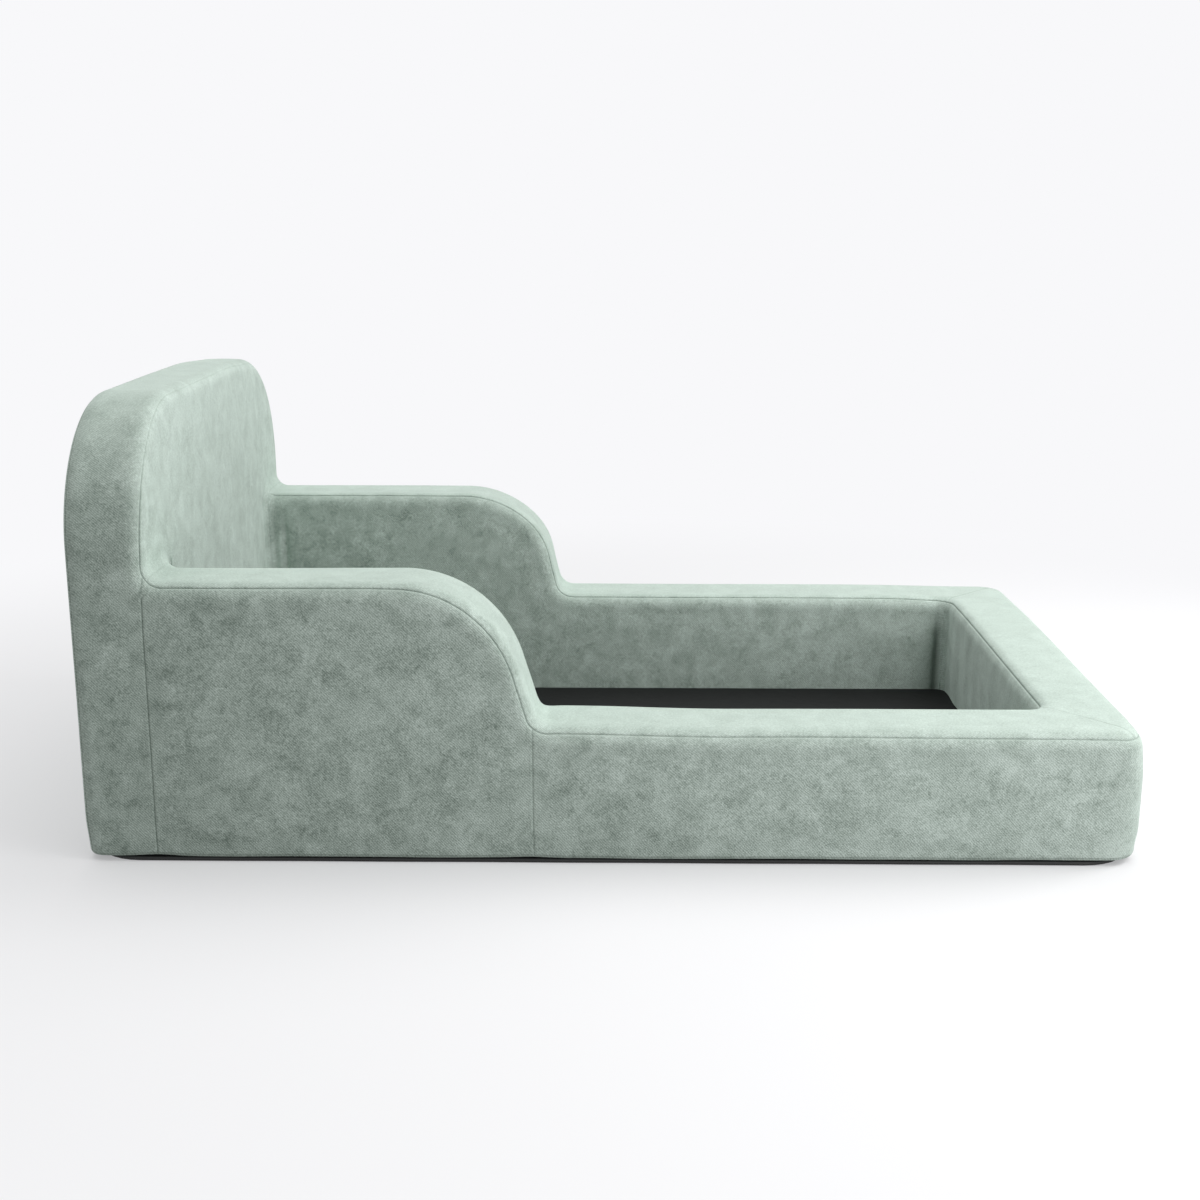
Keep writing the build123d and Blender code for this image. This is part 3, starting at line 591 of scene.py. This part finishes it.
# Cloth under pressure, run on a closed and remeshed copy. Its swelling is capped and a share of it carried over to
# the fine mesh.
shape = bmesh.new()
shape.from_mesh(cover.data)
bmesh.ops.bridge_loops(shape, edges=[e for e in shape.edges if e.is_boundary])
bmesh.ops.recalc_face_normals(shape, faces=shape.faces)
rough = bpy.data.meshes.new("rough")
shape.to_mesh(rough)
shape.free()
bag = bpy.data.objects.new("bag", rough)
bpy.context.collection.objects.link(bag)
remesh = bag.modifiers.new("even", "REMESH")
remesh.mode, remesh.voxel_size = "VOXEL", bag_pitch * MM
even = bpy.data.meshes.new_from_object(bag.evaluated_get(bpy.context.evaluated_depsgraph_get()))
bag.modifiers.clear()
bag.data = even
start = np.empty(3 * len(even.vertices))
even.vertices.foreach_get("co", start)
start = start.reshape(-1, 3) / MM
bag_gap = np.array([near.find(p)[2] for p in start])
held = 1 - eased(np.minimum(bag_gap, start[:, 2] - cover_low - 6), 10, 30)
sewn_group = bag.vertex_groups.new(name="painted_crease_shade")
for step in range(1, 11):
    sewn_group.add(np.nonzero(np.round(held * 10) == step)[0].tolist(), step / 10, "REPLACE")
filling = bag.modifiers.new("filling", "CLOTH")
filling.settings.quality = 4
filling.settings.mass = 0.3
filling.settings.use_pressure = True
filling.settings.uniform_pressure_force = 4.0
filling.settings.vertex_group_mass = "painted_crease_shade"
filling.settings.effector_weights.gravity = 0
filling.collision_settings.use_collision = False
for step in range(1, swell_steps + 1):
    bpy.context.scene.frame_set(step)
swollen = np.empty(3 * len(start))
bag.evaluated_get(bpy.context.evaluated_depsgraph_get()).data.vertices.foreach_get("co", swollen)
bpy.context.scene.frame_set(1)
bpy.data.objects.remove(bag)
move = swollen.reshape(-1, 3) / MM - start
size = np.linalg.norm(move, axis=1)
move *= (swell_cap * np.tanh(size / swell_cap) / np.maximum(size, 1e-6))[:, None]
bag_tree = kdtree.KDTree(len(start))
for i, p in enumerate(start):
    bag_tree.insert(p, i)
bag_tree.balance()
carried = np.zeros_like(points)
for i, p in enumerate(points):
    close = bag_tree.find_n(p, 5)
    share = np.array([1 / (c[2] + 3) ** 2 for c in close])
    carried[i] = share @ move[[c[1] for c in close]] / share.sum()
points = points + swell_share * carried * eased(np.minimum(gap, off_zip), 4, 30)[:, None]

# Each seam is a sharp groove between two soft lips.
rise = -depth * (1.4 * hump(gap, 0, 0.9) + 0.8 * np.exp(-gap / 6) - 0.5 * hump(gap, 3.2, 1.7))
free = eased(np.minimum(gap, off_zip), 4, 40)
wide_wave = np.array([noise.noise(Vector(p / 150)) for p in points])
small_wave = np.array([noise.noise(Vector(p / 46 + 7)) for p in points])
rise += free * (1.3 * wide_wave + 0.5 * small_wave)

# Tucks in the well: upright folds beside the headboard and the foot, where the inner panels turn the corner, and
# shallow ripples across the foot's inner panel. The tuck at the foot is in shade, so it is painted darker too.
head_tuck, foot_tuck = -640, 636
x, y, z = laid.T
on_wall = np.abs(np.abs(y) - well_side) < 1.5
rise += np.where(on_wall & (x < -560), eased(z, 10, 90) * (1 - eased(z, 330, 392))
                 * (-4.5 * hump(x, head_tuck, 4.5) + 2.2 * hump(x, head_tuck - 12, 5)
                    + 1.6 * hump(x, head_tuck + 18, 7)), 0)
rise += np.where(on_wall & (x > 560), (1 - eased(z, 70, 185))
                 * (-8 * hump(x, foot_tuck, 6) + 2.5 * hump(x, foot_tuck + 12, 5)
                    + 1.5 * hump(x, foot_tuck - 20, 9)), 0)
# Painted shade in the tuck at the foot.
tuck_shade = np.where(on_wall & (x > 560), (1 - eased(z, 110, 195))
                * (0.55 * hump(x, foot_tuck, 5) + 0.35 * hump(x, foot_tuck - 4, 20)), 0)
ripple = np.array([noise.noise(Vector((p[1] / 55, p[2] / 400, 5))) for p in points])
rise += np.where((np.abs(x - foot_in) < 1.5) & (np.abs(y) < well_side), 2.0 * ripple * eased(gap, 3, 30), 0)
points = points + normals * rise[:, None]

# The well's foot corners are rounded, as the cloth bridges them.
bridge = 25
in_x, in_y = points[:, 0] - foot_in + bridge, np.abs(points[:, 1]) - well_side + bridge
reach = np.maximum(in_x, in_y)
pull = np.where((in_x > 0) & (in_y > 0) & (points[:, 2] > cover_low), 1 - eased(reach, 26, 75), 0) * (
    reach / np.maximum(np.hypot(in_x, in_y), 1e-6) - 1)
points[:, 0] += pull * in_x
points[:, 1] += np.sign(points[:, 1]) * pull * in_y

# The bed is not dead true. x, y and z follow the points as each move is made.
x, y, z = points.T
# The headboard's front leans out at the left and in at the right. Its top crowns, and sinks at the right.
lean_out, lean_in, head_crown, head_sink = 6, 5, 2, 8.5
on_front = eased(x, -765, -690) * (1 - eased(x, -660, -600))
points[:, 0] += on_front * (lean_out * (1 - eased(y, -300, 300)) * eased(z, 330, 560)
                            - lean_in * eased(y, -100, 420) * eased(z, 60, 400))
points[:, 2] += eased(z, 500, 640) * (head_crown * eased(y, -300, -50) * (1 - eased(y, 80, 260))
                                      - head_sink * eased(y, 110, 390))
# The right rail's foam has settled and its drop lies further on. The left rail stands a little high.
right_sink, left_lift, drop_on_low, drop_on_high = 12.5, 4, 4, 12
on_high = eased(x, -740, -690) * (1 - eased(x, -110, -70)) * eased(z, 225, 400) * (1 - eased(z, 470, 620))
points[:, 2] += on_high * np.where(y > 0, -right_sink * eased(y, 200, 330), left_lift * eased(-y, 200, 330))
points[:, 0] += eased(y, 200, 330) * eased(x, -460, -300) * (1 - eased(x, -90, 20)) * (
    drop_on_low + drop_on_high * eased(z, 215, 370))
# The foot bulges out, more at the right, and its near corner is full below and drawn in at the top.
corner_full, corner_in = 3, 2
bulge = np.interp(y, [-495, -400, 0, 495], [-0.5, 1.5, 5.5, 8.5])
corner = corner_full * eased(z, 15, 50) * (1 - eased(z, 130, 185)) - corner_in * eased(z, 165, 200)
points[:, 0] += eased(x, 655, 775) * (bulge + eased(-y, 380, 470) * corner)
# The left rail rises to its toe, which is drawn in tight at the well. The foot's far end has sunk a little.
toe_lift, toe_in, toe_down, foot_sink = 3.5, 2.3, 3.1, 3.5
before_toe = eased(x, -160, -100) * (1 - eased(x, -70, 170)) * eased(-y, 200, 330)
points[:, 2] += toe_lift * before_toe * eased(z, 110, 200) * (1 - eased(z, 230, 330))
at_toe = np.exp(-((x + 103) ** 2 + (z - 212) ** 2) / 170) * eased(y, -470, -370) * (y < 0)
points[:, 0] -= toe_in * at_toe
points[:, 2] -= toe_down * at_toe
points[:, 2] -= foot_sink * eased(x, 450, 720) * eased(y, 200, 450) * eased(z, 110, 195)
# A slow drift of up to 0.9 mm over the whole cover.
drift = np.array([[noise.noise(Vector(p / 260 + shift)) for shift in (3, 17, 31)] for p in points])
points += 0.9 * drift * eased(off_zip, 2, 60)[:, None]
# The hem is not level: it rides up at the upright seams. The foot's corners are drawn down at the top, and all four
# corners are drawn up and in at the hem.
x, y, z = points.T
wide = np.abs(y)
outside = (wide > well_side + 5) | (x > foot_in + 5) | (x < front - 5)
low = np.where(outside, 1 - eased(z, cover_low, 45), 0)
pinch = hump(x, mid_seam, 35) + hump(x, front, 30)
to_foot = np.hypot(np.maximum(x - foot_out + 60, 0), np.maximum(wide - side + 60, 0))
to_rear = np.hypot(np.maximum(rear + 60 - x, 0), np.maximum(wide - side + 60, 0))
at_corner = eased(np.maximum(to_foot, to_rear), 50, 80)
wave = np.array([noise.noise(Vector((p[0] / 110, p[1] / 110, 9))) for p in points])
points[:, 2] += low * (0.3 + 1.2 * wave + 2 * pinch + 0.6 * at_corner)
points[:, 2] -= 6 * eased(to_foot, 30, 80) * eased(z, 110, 195)
drawn = 1 - eased(z, 5, 70)
points[:, 0] += drawn * (4 * eased(to_rear, 50, 80) - 2 * eased(to_foot, 50, 80))
points[:, 1] -= np.sign(y) * 2.5 * drawn * at_corner
points[:, 2] = np.maximum(points[:, 2], cover_low - 0.03)
cover.data.vertices.foreach_set("co", (points * MM).ravel())
# Painted shade: how dark the seams' grooves and the foot's tuck are painted, kept on the mesh for the velvet.
crease_shade_amount = np.maximum(depth * hump(gap, 0, 0.85), tuck_shade)
cover.data.attributes.new("crease_shade", "FLOAT", "POINT").data.foreach_set("value", crease_shade_amount)

# The slot for the zip, with its edges folded in.
shape = bmesh.new()
shape.from_mesh(cover.data)
for spot, way in (((0, 0, zip_high + slot_tall / 2), (0, 0, 1)), ((0, 0, zip_high - slot_tall / 2), (0, 0, 1)),
                  ((0, slot_half, 0), (0, 1, 0)), ((0, -slot_half, 0), (0, 1, 0))):
    back = [f for f in shape.faces if f.calc_center_median().x < (rear + 3) * MM and f.calc_center_median().z < 0.09]
    parts = set(back) | {e for f in back for e in f.edges} | {v for f in back for v in f.verts}
    bmesh.ops.bisect_plane(shape, geom=list(parts), dist=1e-6, plane_co=Vector(spot) * MM, plane_no=way)
gone = [f for f in shape.faces if f.calc_center_median().x < (rear + 3) * MM
        and abs(f.calc_center_median().z - zip_high * MM) < slot_tall / 2 * MM
        and abs(f.calc_center_median().y) < slot_half * MM]
rim = {e for f in gone for e in f.edges if any(g not in gone for g in e.link_faces)}
bmesh.ops.delete(shape, geom=gone, context="FACES")
rim = [e for e in rim if e.is_valid]
turned_in = bmesh.ops.extrude_edge_only(shape, edges=rim)["geom"]
for v in turned_in:
    if isinstance(v, bmesh.types.BMVert):
        v.co.x = (rear + slot_deep) * MM
for e in rim:
    e.smooth = False
bmesh.ops.recalc_face_normals(shape, faces=shape.faces)
shape.to_mesh(cover.data)
shape.free()
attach(cover, "bed")
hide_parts("headboard_foam", "left_rail_foam", "right_rail_foam", "foot_rail_foam", "headboard_back_panel",
            "headboard_front_panel", "headboard_boxing", "left_outer_high_panel", "right_outer_high_panel",
            "left_outer_low_panel", "right_outer_low_panel", "left_top_strip", "right_top_strip", "left_inner_panel",
            "right_inner_panel", "foot_outer_panel", "foot_top_strip", "foot_inner_panel")

# ---------------------------------------------------------------------------------------------------------------
# Zip. A nylon coil zip in a slot along the lower back, sewn in by its two tapes, so that the cover comes off. The
# slider and pull are painted zinc.
# ---------------------------------------------------------------------------------------------------------------
# Zip tape: polyester woven in ribs 0.5 mm apart and dyed with the velvet, so it is matt and a little darker. A wave's
# period is 0.314 of its scale's length.
zip_tape, tree = new_material("woven zip tape")
place = add(tree, "ShaderNodeTexCoord").outputs["Object"]
rib = add(tree, "ShaderNodeTexWave", {"Vector": place, "Scale": 1 / 0.0016}, wave_type="BANDS", bands_direction="Y")
bump = add(tree, "ShaderNodeBump", {"Height": rib.outputs["Fac"], "Strength": 0.4, "Distance": 0.0005})
shader = add(tree, "ShaderNodeBsdfPrincipled", {
    "Base Color": add(tree, "ShaderNodeMix", {0: rib.outputs["Fac"], 6: linear("#8C9E94"), 7: linear("#A3B4AA")},
                      data_type="RGBA").outputs[2], "Roughness": 0.8, "IOR": 1.5, "Normal": bump.outputs["Normal"]})
add(tree, "ShaderNodeOutputMaterial", {"Surface": shader.outputs["BSDF"]})
# Painted zinc: cast zinc under a sage enamel, smooth and half glossy, with faint mottling 2 mm wide.
zip_metal, tree = new_material("painted zinc")
place = add(tree, "ShaderNodeTexCoord").outputs["Object"]
wear = add(tree, "ShaderNodeTexNoise", {"Vector": place, "Scale": 1 / 0.002, "Detail": 2.0})
shader = add(tree, "ShaderNodeBsdfPrincipled", {
    "Base Color": add(tree, "ShaderNodeMix", {0: wear.outputs["Fac"], 6: linear("#8A9C92"), 7: linear("#A8B9AF")},
                      data_type="RGBA").outputs[2], "Roughness": 0.35, "IOR": 1.5})
add(tree, "ShaderNodeOutputMaterial", {"Surface": shader.outputs["BSDF"]})
for name, material in (("zip_upper_tape", zip_tape), ("zip_lower_tape", zip_tape), ("zip_coils", zip_tape),
                       ("zip_stops", zip_metal), ("zip_slider", zip_metal), ("zip_pull", zip_metal)):
    finish_node(name, material)

# ---------------------------------------------------------------------------------------------------------------
# Studio. A pale floor, soft light from above and from the right, and the camera at the photograph's place.
# ---------------------------------------------------------------------------------------------------------------
# Floor: matt white paper. The camera sees it white, and it throws less light up at the bed than it shows. Away from the
# bed it passes into the plain white of the background.
studio_floor, tree = new_material("matt white paper")


def shown(tree):
    """Where a ray shows the background to the eye: straight, in a gloss or through glass."""
    path = add(tree, "ShaderNodeLightPath").outputs
    ray = path["Is Camera Ray"]
    for also in ("Is Glossy Ray", "Is Transmission Ray"):
        ray = add(tree, "ShaderNodeMath", {0: ray, 1: path[also]}, operation="MAXIMUM").outputs[0]
    return ray


seen = add(tree, "ShaderNodeBsdfDiffuse", {"Color": linear("#E2E2E3")})
thrown = add(tree, "ShaderNodeBsdfDiffuse", {"Color": linear("#969696")})
backdrop = "#F8F8FA"
away = add(tree, "ShaderNodeVectorMath", {0: add(tree, "ShaderNodeTexCoord").outputs["Object"]}, operation="LENGTH")
away = add(tree, "ShaderNodeMapRange", {"Value": away.outputs["Value"], "From Min": 1.15, "From Max": 2.3,
                                        "To Min": 0.35}, interpolation_type="SMOOTHSTEP")
plain = add(tree, "ShaderNodeEmission", {"Color": linear(backdrop)})
seen = add(tree, "ShaderNodeMixShader", {0: away.outputs[0], 1: seen.outputs[0], 2: plain.outputs[0]})
shader = add(tree, "ShaderNodeMixShader", {0: shown(tree), 1: thrown.outputs[0], 2: seen.outputs[0]})
add(tree, "ShaderNodeOutputMaterial", {"Surface": shader.outputs[0]})
half = 30000
floor = piece("floor", [(-half, -half, 0), (half, -half, 0), (half, half, 0), (-half, half, 0)], [(0, 1, 2, 3)],
              studio_floor)

world = bpy.data.worlds.new("studio")
bpy.context.scene.world = world
world.use_nodes = True
tree = world.node_tree
tree.nodes.clear()
soft = add(tree, "ShaderNodeBackground", {"Color": linear("#FFFFFF"), "Strength": 0.48})
white = add(tree, "ShaderNodeBackground", {"Color": linear(backdrop), "Strength": 1.0})
mix = add(tree, "ShaderNodeMixShader", {0: shown(tree), 1: soft.outputs[0], 2: white.outputs[0]})
add(tree, "ShaderNodeOutputWorld", {"Surface": mix.outputs[0]})


def lamp(name, kind, power, spot, aim, size):
    """A sun, whose size is an angle, or a square lamp, aimed at a point."""
    data = bpy.data.lights.new(name, kind)
    data.energy = power
    if kind == "SUN":
        data.angle = size
    else:
        data.size = size
    made = bpy.data.objects.new(name, data)
    made.location = spot
    made.rotation_euler = (Vector(aim) - Vector(spot)).to_track_quat("-Z", "Y").to_euler()
    bpy.context.collection.objects.link(made)


lamp("overhead", "SUN", 1.58, (0.3, 0.9, 3.0), (0, 0, 0), math.radians(70))
lamp("front right", "AREA", 14.5, (1.5, -1.2, 1.9), (0.6, 0.2, 0.1), 1.0)
lamp("low right", "AREA", 10, (1.6, -2.2, 0.45), (0.6, -0.4, 0.1), 0.9)
lamp("foot end", "AREA", 33, (2.6, 0.3, 1.3), (-0.6, 0, 0.5), 1.0)
# The camera's place, turn and lens are those fitted to the photograph.
camera_data = bpy.data.cameras.new("camera")
camera_data.lens, camera_data.sensor_width, camera_data.clip_start = 48.45, 36, 0.05
camera = bpy.data.objects.new("camera", camera_data)
camera.location = (0.0157, -2.7357, 0.9444)
camera.rotation_euler = (math.pi / 2 - 0.2366, 0.0, 0.0140)
bpy.context.collection.objects.link(camera)
scene = bpy.context.scene
scene.camera = camera
scene.view_settings.view_transform = "Standard"
